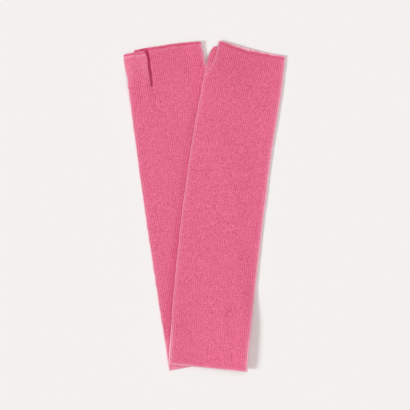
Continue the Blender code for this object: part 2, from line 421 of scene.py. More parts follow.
# %% Crossing
CROSSING_GAP = 0.35
CROSSING_CREST = 6.0
CROSSING_REACH = 70.0
CROSSING_DROP = Table(("y", "length"), (
    (-101.0, 24.0), (-51.0, 36.0), (49.0, 60.0),
))
DROPS_ABOVE_Y = -99.0
LEVEL_BELOW_Y = -166.0
CROSSING_TOP_Y = 175.0
FLOOR_ABOVE_Y = 201.0
HEM_OVERHANG = 20.0
HEM_SAG_SHARE = 0.1


def floor_height(x, y):
    """The left warmer lies on the floor everywhere."""
    return 0.0


left = Warmer(LEFT_LAY, LEFT_FOLDS, floor_height, palm_up=True, stack_side=(-6.0, 5.0),
              finger_bow=2.1, finger_dip=LEFT_FINGER_DIP, thumb_length=44.0, thumb_slant=-1.8,
              thumb_fold=LEFT_THUMB_FOLD, seed=21)


def crossing_height(x, y):
    """Height of the right warmer's underside over points of the floor."""
    across, from_hem = left.locate(x, y)
    past_far_fold = across - left.width(from_hem)
    height = left.thickness(across, from_hem, CROSSING_CREST, CROSSING_REACH) + CROSSING_GAP
    drops = smoothstep(LEVEL_BELOW_Y, DROPS_ABOVE_Y, y)
    drop = drops * smoothstep(0.0, CROSSING_DROP.straight("length", y), past_far_fold)
    crossed = fall(CROSSING_TOP_Y, FLOOR_ABOVE_Y, y)
    sag = HEM_SAG_SHARE * smoothstep(0.0, HEM_OVERHANG, -from_hem)
    return height * (1.0 - drop) * crossed * (1.0 - sag)


right = Warmer(RIGHT_LAY, RIGHT_FOLDS, crossing_height, palm_up=False, stack_side=(1.0, 48.0),
               finger_bow=-2.8, finger_dip=RIGHT_FINGER_DIP, thumb_length=37.3, thumb_slant=1.5,
               thumb_fold=RIGHT_THUMB_FOLD, seed=31)

# %% [markdown]
# ## The form of each tube
#
# A form answers four questions about a flat tube: where its two folds are, how high its underside
# lies, how thick it is, and which place of the warmer a point belongs to. The arm tube's upper layer
# rises at the crotch to meet the stack of thumb and hand. Past the thumb's tip the right hand has
# nothing beneath it, and droops towards the table. A form also knows its wales and its open ends.

# %% Forms of the three tubes
class Form:
    """A tube whose places are counted from the hem, as thick as its warmer and resting like it."""

    wales_round, first_course = WALES_ROUND, ARM_COURSES
    open_start, open_end = False, True

    def __init__(self, warmer, roll=None):
        self.warmer = warmer
        self.palm_up = warmer.palm_up
        self.roll = roll

    def from_hem(self, across, along):
        return along

    def underside(self, across, along):
        return self.warmer.height(across, along)

    def thickness(self, across, along):
        return self.warmer.thickness(across, along)


class ArmForm(Form):
    """The long tube from the arm opening to the crotch."""

    start, end, seam_pull = 0.0, CROTCH, 0.0
    first_course, open_start, open_end = 0, True, False

    def folds(self, along):
        return 0.0, self.warmer.width(along)

    def arch(self, across, along):
        """How far the stack of thumb and hand lifts the upper layer, as a share."""
        rise = smoothstep(CROTCH - ARCH_LENGTH, CROTCH, along)
        return rise * self.warmer.beside_stack(across, CROTCH - along)

    def thickness(self, across, along):
        return super().thickness(across, along) + STACK_LIFT * self.arch(across, along)


class HandForm(Form):
    """The wide short tube: under its thumb on the left warmer and over it on the right one."""

    start, end = CROTCH, LENGTH

    @property
    def seam_pull(self):
        return 0.0 if self.palm_up else STACK_LIFT / 2

    def folds(self, along):
        return HAND_INSET.smooth("inset", LENGTH - along), self.warmer.width(along)

    def underside(self, across, along):
        lift = 0.0 if self.palm_up else self.warmer.beside_stack(across)
        droop = 1.0 - FINGER_DROOP * smoothstep(PAST_THUMB, LENGTH, along)
        return super().underside(across, along) + STACK_LIFT * lift * droop


class ThumbForm(Form):
    """The narrow short tube that branches off the palm side. Its tip's corners turn in a little."""

    start, seam_pull = 0.0, STACK_LIFT / 2
    wales_round = THUMB_WALES_ROUND

    @property
    def end(self):
        return self.warmer.thumb_length

    def folds(self, along):
        share = along / self.end
        tip = np.clip(1.0 - (self.end - along) / TIP_TURN_LENGTH, 0.0, 1.0)
        return self.warmer.thumb_fold.smooth("inset", share), THUMB_WIDTH - TIP_TURN * tip ** 2

    def from_hem(self, across, along):
        slant = self.warmer.thumb_slant * across / THUMB_WIDTH
        return CROTCH + along + along / self.end * slant

    def underside(self, across, along):
        from_hem = self.from_hem(across, along)
        lift = 0.0
        if self.palm_up:
            past_hand_fold = HAND_INSET.smooth("inset", LENGTH - from_hem) - across
            lift = fall(0.0, THUMB_DROP_END, past_hand_fold)
        return self.warmer.height(across, from_hem) + STACK_LIFT * lift

    def thickness(self, across, along):
        return FLAT_THICKNESS


# %% [markdown]
# ## Going round a flat tube
#
# A flattened tube is a stadium seen end on: two straight layers joined by two half circles. The
# number `turn` goes round it once, from 0 at the fold on the thumb side, under the tube to 0.5 at
# the far fold, and back over the top to 1. With `depth` a point sinks into the wall, and with
# `swell` the upper side rises. Just above the crotch a hand or a thumb follows the thick fold of the
# arm tube below, so that their wales meet.

# %% One ring of a tube
REFERENCE_RADIUS = FLAT_THICKNESS / 2
NEAR_REACH = 28.0
FAR_REACH = 12.0
SEAM_START = 4.0
SEAM_FADE = 20.0


def ring(form, turn, along, depth, swell):
    """Places across the tube, and heights above its underside, in millimetres."""
    first, last = form.folds(along)
    near = form.thickness(first, along) / 2
    far = form.thickness(last, along) / 2
    arc = math.pi * REFERENCE_RADIUS / 2
    straight = last - first - 2 * REFERENCE_RADIUS
    above_crotch = form.from_hem(first, along) - CROTCH
    seam_pull = form.seam_pull * fall(0.0, SEAM_FADE, above_crotch)
    gone = turn * (2 * straight + 4 * arc)

    def between_folds(from_first):
        """The folds' true radii move the cloth beside them a little, and none further in."""
        from_last = straight - from_first
        near_pull = near - REFERENCE_RADIUS + seam_pull * np.clip(from_first / SEAM_START, 0, 1)
        near_move = near_pull * np.clip(1.0 - from_first / NEAR_REACH, 0, 1)
        far_move = (far - REFERENCE_RADIUS) * np.clip(1.0 - from_last / FAR_REACH, 0, 1)
        return first + REFERENCE_RADIUS + from_first + near_move - far_move

    quarter = math.pi / 2
    low_near = np.clip(gone / arc, 0, 1) * quarter
    under = between_folds(np.clip(gone - arc, 0, straight))
    round_far = np.clip((gone - arc - straight) / arc, 0, 2) * quarter
    over = between_folds(straight - np.clip(gone - 3 * arc - straight, 0, straight))
    high_near = np.clip((gone - 3 * arc - 2 * straight) / arc, 0, 1) * quarter

    far_reach = far - depth + swell * np.maximum(0.0, -np.cos(round_far))
    near_reach = near - depth
    high_reach = near_reach + swell * np.cos(high_near)
    stretches = [gone < arc, gone < arc + straight, gone <= 3 * arc + straight,
                 gone < 3 * arc + 2 * straight]
    across = np.select(stretches, [
        first + near - near_reach * np.cos(low_near),
        under,
        last - far + far_reach * np.sin(round_far),
        over,
    ], first + near - high_reach * np.sin(high_near))
    above = np.select(stretches, [
        near - near_reach * np.sin(low_near),
        depth,
        far - far_reach * np.cos(round_far),
        form.thickness(over, along) - depth + swell,
    ], near + high_reach * np.cos(high_near))
    return across, above


# %% [markdown]
# ## Unevenness
#
# Machine knitting is regular, and cloth is not. Stitches sit a little higher or lower, wales wander,
# folds are never quite straight, and the pressed layers have shallow hollows as wide as a finger.
# Seeded random numbers give all of this, the same at every run.

# %% Soft noise
NOISE_CELLS = 64
NOISE_COURSES = 256


class SoftNoise:
    """Smooth numbers between -1 and 1 over a plane, with bumps about one cell wide."""

    def __init__(self, seed, cell_x, cell_y):
        self.cells = np.random.default_rng(seed).uniform(-1, 1, (NOISE_CELLS, NOISE_CELLS))
        self.cell_x = cell_x
        self.cell_y = cell_y

    def at(self, x, y):
        u, v = x / self.cell_x, y / self.cell_y
        column, row = np.floor(u).astype(int), np.floor(v).astype(int)
        blend_x, blend_y = smoothstep(0, 1, u - column), smoothstep(0, 1, v - row)

        def corner(right, up):
            return self.cells[(row + up) % NOISE_CELLS, (column + right) % NOISE_CELLS]

        low = corner(0, 0) + (corner(1, 0) - corner(0, 0)) * blend_x
        high = corner(0, 1) + (corner(1, 1) - corner(0, 1)) * blend_x
        return low + (high - low) * blend_y


HOLLOW_DEPTH = 0.10
WANDER = 0.5
FOLD_WAVER = 0.30
FOLD_WAVER_REACH = 10.0
hollows = SoftNoise(seed=11, cell_x=16.0, cell_y=30.0)
wander = SoftNoise(seed=12, cell_x=30.0, cell_y=22.0)
fold_waver = SoftNoise(seed=14, cell_x=50.0, cell_y=9.0)


def stitch_noise(form, wale, course):
    """One random number from 0 to 1 for each stitch, counted from the fold on the thumb side."""
    table = np.random.default_rng(form.warmer.seed).uniform(0, 1, (NOISE_COURSES, WALES_ROUND))
    row = np.floor(np.round(course, 3)).astype(int) % NOISE_COURSES
    column = np.floor(wale).astype(int) % form.wales_round - form.wales_round
    return table[row, column % WALES_ROUND]


# %% [markdown]
# ## Rolled edges
#
# An open edge of stockinette rolls towards its face. On the right warmer the roll droops as a narrow
# pale lip, widest in the middle, with a groove below it. On the left one it has flattened and slopes
# off, and only its far corner is still thick. A profile gives each: how far the cloth swells or
# sinks, at each distance below the edge. The height and the width of a roll waver along the edge.
# The third column is a tone. Above zero it is painted shade in the grooves and on slopes turned from
# the light, together with the deeper back of the knit that a roll turns up. Below zero it is painted
# highlight on the pale lip and the crests.

# %% Roll profiles
ROLL_LENGTH = 8.0
ROLL_SHIFT = 0.5
SHIFT_FADE = 2.0
ROLL_UNEVENNESS = 0.45
CORNER_ROLL = 0.9
CORNER_REACH = 12.0
CORNER_RISE = (0.0, 1.2)
CORNER_FALL = (2.4, 4.2)
LIP = Table(("across", "width"), (
    (13.6, 0.2), (23.4, 0.4), (35.3, 1.6), (48.5, 2.6), (61.3, 2.2), (74.0, 1.6), (99.4, 1.0),
))
ROLL_COLUMNS = ("below_edge", "swell", "tone")
LIPPED_ROLL = Table(ROLL_COLUMNS, (
    (-2.3, -0.80, -0.95), (-1.2, -0.50, -0.75), (0.0, -0.15, -0.32),
    (0.6, 0.10, -0.20), (1.2, 0.15, 0.00), (1.8, 0.05, 0.30),
    (2.4, -0.12, 0.50), (3.0, -0.12, 0.30), (3.6, 0.00, 0.05),
    (5.0, 0.05, 0.0), (8.0, 0.0, 0.0),
))
FLAT_ROLL = Table(ROLL_COLUMNS, (
    (0.0, -0.35, -0.15), (1.0, -0.32, 0.1), (2.0, -0.10, 0.9),
    (3.0, 0.14, 0.25), (4.5, 0.30, -0.10), (6.0, 0.20, -0.06),
    (8.0, 0.0, 0.0),
))
THUMB_ROLL = Table(ROLL_COLUMNS, (
    (0.0, 0.00, -0.2), (0.6, 0.30, -0.2), (1.3, 0.42, 0.0),
    (2.1, 0.36, 0.75), (2.9, 0.33, 0.3), (3.8, 0.32, -0.2),
    (5.0, 0.25, -0.25), (6.5, 0.10, -0.1), (8.0, 0.0, 0.0),
))
roll_shift = SoftNoise(seed=13, cell_x=6.5, cell_y=50.0)
roll_strength = SoftNoise(seed=15, cell_x=3.4, cell_y=50.0)


def roll_at(form, around, across, past_far_fold, below_edge):
    """How far a rolled edge swells, and its tone."""
    shift = ROLL_SHIFT * roll_shift.at(around, 0.0) * smoothstep(0.0, SHIFT_FADE, below_edge)
    strength = 1.0 + ROLL_UNEVENNESS * roll_strength.at(around, 0.0)
    lip = LIP.smooth("width", across) if form.roll is LIPPED_ROLL else 0.0
    at = np.clip(below_edge + shift, 0.0, ROLL_LENGTH) - lip
    swell = form.roll.smooth("swell", at) * strength
    # The tone paints shade above zero and highlight below zero.
    tone = np.clip(form.roll.smooth("tone", at) * strength, -1.0, 1.0)
    if form.roll is FLAT_ROLL:
        corner = fall(0.0, CORNER_REACH, past_far_fold)
        ridge = smoothstep(*CORNER_RISE, at) * fall(*CORNER_FALL, at)
        swell = swell + CORNER_ROLL * corner * ridge
    on_roll = below_edge < ROLL_LENGTH
    return np.where(on_roll, swell, 0.0), np.where(on_roll, tone, 0.0)


# %% [markdown]
# ## Loft, and the crease beside the thumb
#
# Where nothing lies on it, the upper layer of the left warmer lofts up by the thickness of a thread,
# and beside the right warmer it is pressed down. Along the left thumb the hand is pushed down into a
# deep crease, whose far bank stands up again at once. It starts just below the crotch, where it
# bends aside, and is widest near the fingers. Round the root of the thumb the cloth puffs up, with a
# dimple in the middle.

# %% Loft and crease
LOFT = 0.75
LOFT_START = 2.0
LOFT_REACH = 35.0
PRESSED = 0.60
PRESS_FADE = (-3.0, 10.0)
CREASE_DEPTH = 0.95
CREASE_UNDERCUT = 9.0
NEAR_BANK_SLOPE = 0.6
BANK_SLOPE = 1.6
CREASE_COLUMNS = ("above_crotch", "aside", "width", "share")
CREASE = Table(CREASE_COLUMNS, (
    (-6.0, 2.4, 3.2, 0.0),
    (-3.0, 1.5, 2.8, 0.5),
    (0.0, 0.8, 2.6, 0.9),
    (4.0, 0.0, 2.5, 1.0),
    (12.0, 0.0, 3.3, 1.0),
    (24.0, 0.0, 3.7, 1.0),
    (36.0, 0.0, 4.1, 1.0),
    (46.0, 0.0, 3.4, 1.0),
))
PUFF_HEIGHT = 0.8
PUFF_PLACE = (16.0, CROTCH)
PUFF_SIZE = (15.0, 18.0)
DIMPLE_SIZE = (5.0, 6.0)


def crease_place(across, along):
    """How far a place is past the two banks of the crease, and the crease's share."""
    above_crotch = along - CROTCH
    past_fold = across - THUMB_WIDTH
    past_start = past_fold - CREASE.smooth("aside", above_crotch)
    past_bank = past_fold - CREASE.smooth("width", above_crotch)
    return past_start, past_bank, np.clip(CREASE.smooth("share", above_crotch), 0.0, 1.0)


def crease_at(form, across, along):
    """How far, from 0 to 1, the cloth is pushed down beside the left thumb."""
    if not form.palm_up or isinstance(form, ThumbForm):
        return 0.0
    past_start, past_bank, share = crease_place(across, along)
    if isinstance(form, ArmForm):
        near_bank = smoothstep(-NEAR_BANK_SLOPE, NEAR_BANK_SLOPE, past_start)
    else:
        near_bank = smoothstep(-CREASE_UNDERCUT, -CREASE_UNDERCUT / 2, past_start)
    return share * near_bank * fall(-BANK_SLOPE, 0.0, past_bank)


def mound(across, from_hem, size):
    """A soft round mound over the root of the thumb, 1 at its middle."""
    off_across = (across - PUFF_PLACE[0]) / size[0]
    off_along = (from_hem - PUFF_PLACE[1]) / size[1]
    return np.exp(-off_across ** 2 - off_along ** 2)


def clear_of_right(form, across, along):
    """How far a place of the left warmer lies beside the fold of the right one."""
    x, y = form.warmer.place(across, along)
    return -right.locate(x, y)[0]


def loft_of(form, across, along):
    """How far the upper layer stands above the pressed cloth, or sinks beside what presses it."""
    if not form.palm_up:
        return 0.0
    from_hem = form.from_hem(across, along)
    puff = mound(across, from_hem, PUFF_SIZE) * (1.0 - mound(across, from_hem, DIMPLE_SIZE))
    if isinstance(form, ThumbForm):
        return PUFF_HEIGHT * puff
    free = smoothstep(*PRESS_FADE, clear_of_right(form, across, along))
    far_rise = smoothstep(LOFT_START, LOFT_REACH, form.warmer.width(along) - across)
    near_crotch = smoothstep(CROTCH - ARCH_LENGTH, CROTCH, along)
    bank = smoothstep(-BANK_SLOPE / 2, BANK_SLOPE, crease_place(across, along)[1])
    near_rise = smoothstep(LOFT_START, LOFT_REACH, across) * (1.0 - near_crotch) + bank * near_crotch
    if isinstance(form, HandForm):
        puff = puff * bank
    return LOFT * free * far_rise * near_rise + PUFF_HEIGHT * puff - PRESSED * (1.0 - free)


# %% [markdown]
# ## Paler folds and hems
#
# Each fold and hem gets a soft pale line of painted highlight, standing for the sheen of loose fibres
# where cloth turns a bend. It is strongest on the far folds, which turn away from the light, and near
# the arm openings. The little thumb tube is paler all over, and gets painted highlight beside its
# inner fold. Beside the right warmer the left one gets painted shade.

# %% Edge tone
FOLD_PALE = 0.37
FOLD_PALE_REACH = 1.9
FAR_FOLD_PALE = 0.75
FAR_FOLD_REACH = 1.4
LEFT_HEM_FOLD_PALE = 0.45
RIGHT_HEM_FOLD_PALE = 0.85
HEM_FOLD = (20.0, 60.0)
LEFT_HEM_PALE = (0.45, 5.0)
RIGHT_HEM_PALE = (0.42, 1.3)
HEM_CORNER_PALE = 0.35
HEM_CORNER = (24.0, 36.0)
THUMB_PALE = 0.055
THUMB_PALE_START = 18.0
INNER_FOLD_PALE = 0.07
INNER_FOLD_REACH = 5.0
INNER_FOLD_EDGE = 1.6
# Painted shade beside the right warmer, along the left one.
PAINTED_CONTACT_SHADE = Table(("from_hem", "share"), (
    (35.0, 0.0), (50.0, 0.38), (130.0, 0.36), (190.0, 0.15), (300.0, 0.14), (400.0, 0.0),
))
PAINTED_CONTACT_SHADE_REACH = 13.0


def thumb_paleness(across, along):
    """The thumb grows paler towards its open end, and beside its inner fold, but not right on it."""
    off_inner = np.maximum(0.0, THUMB_WIDTH - across)
    # Beside the inner fold the paleness is painted highlight.
    inner = INNER_FOLD_PALE * np.exp(-off_inner / INNER_FOLD_REACH)
    return (THUMB_PALE + inner * smoothstep(0.0, INNER_FOLD_EDGE, off_inner)) * smoothstep(
        0.0, THUMB_PALE_START, along)


def painted_contact_shade(form, across, along):
    """How much painted shade the left warmer gets beside the fold of the right one."""
    beside = fall(0.0, PAINTED_CONTACT_SHADE_REACH, clear_of_right(form, across, along))
    return PAINTED_CONTACT_SHADE.straight("share", form.from_hem(across, along)) * beside


def painted_light(form, across, along):
    """Painted highlight on folds and hems from 0 to 1, less painted shade by the right warmer."""
    first, last = form.folds(along)
    thumb = isinstance(form, ThumbForm)
    off_fold = np.maximum(0.0, across - first if thumb else np.minimum(across - first, last - across))
    near_hem = fall(*HEM_FOLD, form.from_hem(across, along))
    hem_fold_pale = LEFT_HEM_FOLD_PALE if form.palm_up else RIGHT_HEM_FOLD_PALE
    pale = (FOLD_PALE + hem_fold_pale * near_hem) * np.exp(-off_fold / FOLD_PALE_REACH)
    if thumb and form.palm_up:
        return pale + thumb_paleness(across, along)
    # The far folds turn away from the light and get extra painted highlight.
    pale = pale + FAR_FOLD_PALE * np.exp(-np.maximum(0.0, last - across) / FAR_FOLD_REACH)
    if form.open_start:
        share, reach = LEFT_HEM_PALE if form.palm_up else RIGHT_HEM_PALE
        if not form.palm_up:
            share = share + HEM_CORNER_PALE * fall(*HEM_CORNER, across)
        pale = np.maximum(pale, share * np.exp(-along / reach))
    # Beside the right warmer the tone turns to painted shade.
    if form.palm_up:
        pale = pale - painted_contact_shade(form, across, along)
    return pale


# %% [markdown]
# ## Rows of a tube
#
# A tube starts as a flat swatch of rows and columns. Its rows run up the outside, over the upper
# rim, down the inside and out again at the lower rim, so one swatch makes the whole wall. Open edges
# get a rounded rim and, where they roll, closer rows. Where two tubes meet at the crotch the rim is
# square, because the real knit runs on without a seam.

# %% Rows
RIM_TURNS = 5
ROLL_STEP = 0.5
INNER_STEP = 18.0
FEWEST_INNER_STEPS = 3


def rim(edge, inwards, rounded):
    """(along, depth) from the outer to the inner face, over a rounded or a square rim."""
    if not rounded:
        return [(edge, 0.0), (edge, WALL)]
    radius = WALL / 2
    turns = [math.pi * step / RIM_TURNS for step in range(RIM_TURNS + 1)]
    return [(edge + inwards * radius * (1 - math.sin(turn)), radius * (1 - math.cos(turn)))
            for turn in turns]


def face_rows(start, end, rolled):
    """Places along the outer face: two rows for each course, and closer ones on a rolled edge."""
    even_end = end - ROLL_LENGTH if rolled else end
    steps = round((even_end - start) / COURSE) * ROWS_PER_COURSE
    rows = np.linspace(start, even_end, steps + 1)
    if rolled:
        roll_rows = np.linspace(even_end, end, round(ROLL_LENGTH / ROLL_STEP) + 1)
        rows = np.concatenate([rows, roll_rows[1:]])
    return rows


def tube_rows(form):
    """(along, depth, course) of every row of the swatch."""
    first_rim = rim(form.start, 1, form.open_start)
    last_rim = rim(form.end, -1, form.open_end)
    face = face_rows(first_rim[0][0], last_rim[0][0], form.open_end)
    steps = max(FEWEST_INNER_STEPS, round((form.end - form.start) / INNER_STEP))
    inside = np.linspace(last_rim[-1][0], first_rim[-1][0], steps + 1)
    rows = [(along, 0.0) for along in face]
    rows += last_rim[1:]
    rows += [(along, WALL) for along in inside[1:]]
    rows += first_rim[::-1][1:]
    along, depth = np.array(rows).T
    course = form.first_course + (along - face[0]) / (face[1] - face[0]) / ROWS_PER_COURSE
    return along, depth, course


# %% [markdown]
# ## Where every point of the cloth goes
#
# Each point of a tube knows its wale, its course and its depth in the wall. Only the outer face gets
# stitches, and they sink into the wall. At the crotch the stitches of neighbouring tubes lean alike,
# so the knit runs on across the joint.

# %% Points of a tube
EDGE_FADE = 1.8
THINNEST_WALL = 0.1
ROLLED_RIB_SHARE = 0.45
ROLLED_RIB_FADE = (1.8, 2.8)
UPPER_RISE = (0.5, 0.52)
UPPER_FALL = (0.98, 1.0)
NEAR_WAVER_PLACE, FAR_WAVER_PLACE = 10.0, 600.0


def cloth_points(form, wale, along, depth, course):
    """Positions of points of the cloth in millimetres, and their edge tone."""
    turn = wale / form.wales_round
    on_face = depth == 0.0
    from_end = form.end - along
    open_distance = along - form.start if form.open_start else LENGTH
    if form.open_end:
        open_distance = np.minimum(open_distance, from_end)
    ribs = smoothstep(0.0, EDGE_FADE, open_distance)
    if form.roll:
        on_roll = fall(*ROLLED_RIB_FADE, from_end)
        ribs = ribs * (1.0 - (1.0 - ROLLED_RIB_SHARE) * on_roll)
    along = along + stitch_lean(wale) * COURSE * ribs

    from_near_fold = (form.wales_round - wale) * WALE
    from_hem = along + (CROTCH if isinstance(form, ThumbForm) else 0.0)
    off_folds = np.sin(2 * math.pi * turn) ** 2
    drift = WANDER * wander.at(from_near_fold, from_hem) * off_folds
    turn = turn + drift / (form.wales_round * WALE)
    across = ring(form, turn, along, depth, 0.0)[0]

    upper = smoothstep(*UPPER_RISE, turn) * fall(*UPPER_FALL, turn)
    loft = loft_of(form, across, along) * upper
    uneven = STITCH_UNEVENNESS * stitch_noise(form, wale, course)
    hollow = HOLLOW_DEPTH * (0.5 + 0.5 * hollows.at(from_near_fold, from_hem)) * off_folds * upper
    # The edge tone starts from the painted light: highlight counts below zero, shade above.
    swell, tone = np.maximum(0.0, loft), -painted_light(form, across, along)
    sunk = (stitch_depth(wale, course) + uneven) * ribs + hollow + np.maximum(0.0, -loft)
    if form.roll:
        past_far_fold = form.folds(along)[1] - across
        roll, roll_tone = roll_at(form, from_near_fold, across, past_far_fold, from_end)
        swell = swell + np.maximum(0.0, roll)
        sunk = sunk + np.maximum(0.0, -roll) * upper
        # The roll's tone paints shade and highlight over the upper layer.
        tone = tone * (1.0 - np.abs(roll_tone) * upper) + roll_tone * upper
    crease = crease_at(form, across, along) * upper
    sunk = np.maximum(sunk, CREASE_DEPTH * crease)
    # The crease is also painted in the deep shade colour.
    tone = tone * (1.0 - crease) + crease
    sunk = np.minimum(sunk, WALL - THINNEST_WALL)
    across, above = ring(form, turn, along, depth + np.where(on_face, sunk, 0.0), swell)

    first, last = form.folds(along)
    near_pull = np.clip(1.0 - (across - first) / FOLD_WAVER_REACH, 0, 1)
    far_pull = np.clip(1.0 - (last - across) / FOLD_WAVER_REACH, 0, 1)
    near_waver = fold_waver.at(NEAR_WAVER_PLACE, from_hem) * near_pull
    far_waver = fold_waver.at(FAR_WAVER_PLACE, from_hem) * far_pull
    across = across + FOLD_WAVER * near_waver + FOLD_WAVER * far_waver
    place_from_hem = form.from_hem(across, along)
    x, y = form.warmer.place(across, place_from_hem)
    return np.stack([x, y, form.underside(across, along) + above], axis=1), tone


# %% [markdown]
# ## From swatch to tube
#
# `create_grid` makes the flat swatch and, with `calc_uvs`, writes its flat map too. It lays the
# whole cloth out once inside the unit square, as a texture bake wants it. A second map counts
# stitches: one unit is one wale or one course, so the yarn's pattern follows every turn of the
# cloth. Once all points are in place, `remove_doubles` closes the tube and its rims.

# %% Knitting a tube
WELD_DISTANCE = 0.004 * MM
JOINT_ANGLE = math.radians(75)
TONE_ATTRIBUTE = "edge tone"
BAKE_MAP = "OFBake"
STITCH_MAP = "stitches"


def knitted_tube(name, form):
    columns = wale_columns(form.wales_round)
    along, depth, course = tube_rows(form)
    last_column, last_row = len(columns) - 1, len(along) - 1

    swatch = bmesh.new()
    swatch.loops.layers.uv.new(BAKE_MAP)
    edge_tone = swatch.verts.layers.float.new(TONE_ATTRIBUTE)
    bmesh.ops.create_grid(swatch, x_segments=last_column, y_segments=last_row, size=0.5,
                          calc_uvs=True)
    flat = np.array([vert.co[:2] for vert in swatch.verts]) + 0.5
    column = np.rint(flat[:, 0] * last_column).astype(int)
    row = np.rint(flat[:, 1] * last_row).astype(int)
    points, tones = cloth_points(form, columns[column], along[row], depth[row], course[row])
    for vert, point, tone in zip(swatch.verts, points * MM, tones):
        vert.co = point
        vert[edge_tone] = tone
    bmesh.ops.remove_doubles(swatch, verts=swatch.verts, dist=WELD_DISTANCE)
    bmesh.ops.recalc_face_normals(swatch, faces=swatch.faces)
    open_edges = sum(edge.is_boundary for edge in swatch.edges)

    mesh = bpy.data.meshes.new(name)
    swatch.to_mesh(mesh)
    swatch.free()
    mesh.shade_smooth()
    mesh.set_sharp_from_angle(angle=JOINT_ANGLE)
    count_stitches(mesh, columns, course)
    print(name, "faces:", len(mesh.polygons), "open edges:", open_edges)
    return add_object(name, mesh)


def count_stitches(mesh, columns, course):
    """Add the map that counts wales and courses, worked out from the flat layout."""
    layout = np.empty(len(mesh.loops) * 2, np.float32)
    mesh.uv_layers[BAKE_MAP].uv.foreach_get("vector", layout)
    column, row = np.rint(layout.reshape(-1, 2) * (len(columns) - 1, len(course) - 1)).astype(int).T
    stitches = np.stack([columns[column], course[row]], axis=1)
    layer = mesh.uv_layers.new(name=STITCH_MAP)
    layer.uv.foreach_set("vector", stitches.astype(np.float32).ravel())
    layer.active_render = True
    mesh.uv_layers.active = layer


# %% [markdown]
# ## The two arm tubes
#
# The long plain tube is the body of each warmer. The left one is laid down first, and the right one
# finds its height over it.

# %% Arm tubes
pieces = {}


def knit_up(name, form):
    """Knit one tube and keep it under its node's name."""
    pieces[name + "_tube"] = knitted_tube(name + "_knit", form)


knit_up("left_arm", ArmForm(left))
knit_up("right_arm", ArmForm(right))

# %% [markdown]
# ## The two hand tubes
#
# From the crotch to the fingers the tube narrows a little on the thumb side and ends in a rolled
# edge. It goes on counting courses where the arm tube stops.

# %% Hand tubes
knit_up("left_hand", HandForm(left, FLAT_ROLL))
knit_up("right_hand", HandForm(right, LIPPED_ROLL))

# %% [markdown]
# ## The two thumb tubes
#
# A thumb tube is a small copy of the same idea, a third as wide. On the left warmer it lies on the
# hand, and its roll shows. On the right one it lies under the hand, pressed flat at its edge.

# %% Thumb tubes
knit_up("left_thumb", ThumbForm(left, THUMB_ROLL))
knit_up("right_thumb", ThumbForm(right))

# %% [markdown]
# ## Building node trees
#
# The yarn needs many shader nodes. These helpers add one node each and fill or link its inputs, so
# the lines of the materials below read like sums.

# %% Node helpers
VECTOR, FLOAT = "NodeSocketVector", "NodeSocketFloat"
FIRST_COLOUR, SECOND_COLOUR, MIXED_COLOUR = 6, 7, 2


def add_node(tree, kind, inputs, **settings):
    """Add a shader node, set or link its inputs by name or number, and return it."""
    node = tree.nodes.new("ShaderNode" + kind)
    for name, value in settings.items():
        setattr(node, name, value)
    for place, value in inputs.items():
        socket = node.inputs[place]
        if isinstance(value, bpy.types.NodeSocket):
            tree.links.new(value, socket)
        else:
            socket.default_value = value
    return node


def maths(tree, operation, first, second=0.0, third=0.0):
    node = add_node(tree, "Math", {0: first, 1: second, 2: third}, operation=operation)
    return node.outputs[0]


def mixed(tree, share, first, second):
    """The colour between two, at a share from 0 to 1."""
    colours = {FIRST_COLOUR: first, SECOND_COLOUR: second}
    node = add_node(tree, "Mix", {0: share, **colours}, data_type="RGBA")
    return node.outputs[MIXED_COLOUR]


def new_group(name, inputs, outputs):
    """An empty shader node group with named sockets, and its two end nodes."""
    group = bpy.data.node_groups.new(name, "ShaderNodeTree")
    for in_out, sockets in (("INPUT", inputs), ("OUTPUT", outputs)):
        for label, kind in sockets:
            group.interface.new_socket(name=label, in_out=in_out, socket_type=kind)
    return group, group.nodes.new("NodeGroupInput"), group.nodes.new("NodeGroupOutput")


# %% [markdown]
# ## The shape of one stitch
#
# The mesh already has the legs of the V. This group adds what is finer: each leg is a rounded strand
# that dips where it passes under the next stitch. It gives a height for the bump, and a mask of the
# gaps between strands, which are darker because little light gets in.

# %% Stitch group
STRAND_ROUNDING = 0.6
BOW_SHARE = 0.45
GAP_START = 0.55
GAP_FULL = 0.1

stitch_group, entry, result = new_group(
    "stitch", (("Stitches", VECTOR),), (("Height", FLOAT), ("Gap", FLOAT)))
counts = add_node(stitch_group, "SeparateXYZ", {0: entry.outputs["Stitches"]})
wale_share = maths(stitch_group, "FRACT", counts.outputs["X"])
from_middle = maths(stitch_group, "ABSOLUTE", maths(stitch_group, "SUBTRACT", wale_share, 0.5))
off_crest = maths(stitch_group, "ABSOLUTE",
                  maths(stitch_group, "MULTIPLY_ADD", from_middle, 1 / LEG_MIDDLE, -1.0))
on_crest = maths(stitch_group, "SUBTRACT", 1.0, off_crest)
strand = maths(stitch_group, "POWER", on_crest, STRAND_ROUNDING)
course_share = maths(stitch_group, "FRACT", counts.outputs["Y"])
bow = maths(stitch_group, "SINE", maths(stitch_group, "MULTIPLY", course_share, math.pi))
bow = maths(stitch_group, "MULTIPLY_ADD", bow, BOW_SHARE, 1.0 - BOW_SHARE)
strand_height = maths(stitch_group, "MULTIPLY", strand, bow)
stitch_group.links.new(strand_height, result.inputs["Height"])
gap = add_node(stitch_group, "MapRange",
               {"Value": strand_height, "From Min": GAP_START, "From Max": GAP_FULL}).outputs[0]
stitch_group.links.new(gap, result.inputs["Gap"])

# %% [markdown]
# ## The colour of the yarn
#
# Spun yarn is never one flat colour. Single stitches take the dye a little differently, fibres
# streak along the strand, and there are faint clouds where the cloth was pressed. The group adds
# these up into one tone, where 0.5 is the plain yarn.

